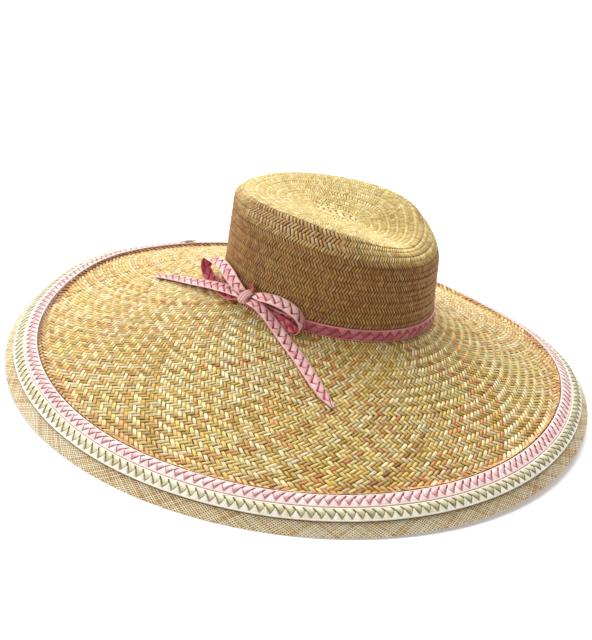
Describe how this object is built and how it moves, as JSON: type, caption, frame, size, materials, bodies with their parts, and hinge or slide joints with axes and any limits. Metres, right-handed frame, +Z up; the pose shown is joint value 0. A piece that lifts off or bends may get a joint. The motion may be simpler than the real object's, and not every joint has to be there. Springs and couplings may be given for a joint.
{
  "type": "wide-brim straw hat",
  "caption": "Wide-brim woven straw hat with a flat-topped crown, plaited trims round the brim, and a plaited band tied in a bow.",
  "frame": {"origin": "on the floor below the centre of the outline", "axes": "+Z up, +Y to the front of the hat, +X to the wearer's right"},
  "size_m": [0.5276, 0.5442, 0.1685],
  "materials": {
    "straw": "woven palm straw, matt with a slight gloss",
    "pink_plait": "pale pink straw plait with dark red marks, satin",
    "cream_plait": "cream straw plait, satin",
    "sinamay": "open tan fibre mesh, matt",
    "band_plait": "dusty pink straw plait, satin"
  },
  "bodies": {
    "root": {"crown": "straw", "straw_brim": "straw", "pink_braid": "pink_plait", "cream_braid": "cream_plait", "sinamay_edge": "sinamay", "hat_band": "band_plait", "bow_knot": "band_plait", "bow_loop_left": "band_plait", "bow_loop_right": "band_plait", "bow_tail_left": "band_plait", "bow_tail_right": "band_plait", "bow_stub": "band_plait", "braid_joint": "cream_plait"}
  },
  "joints": []
}
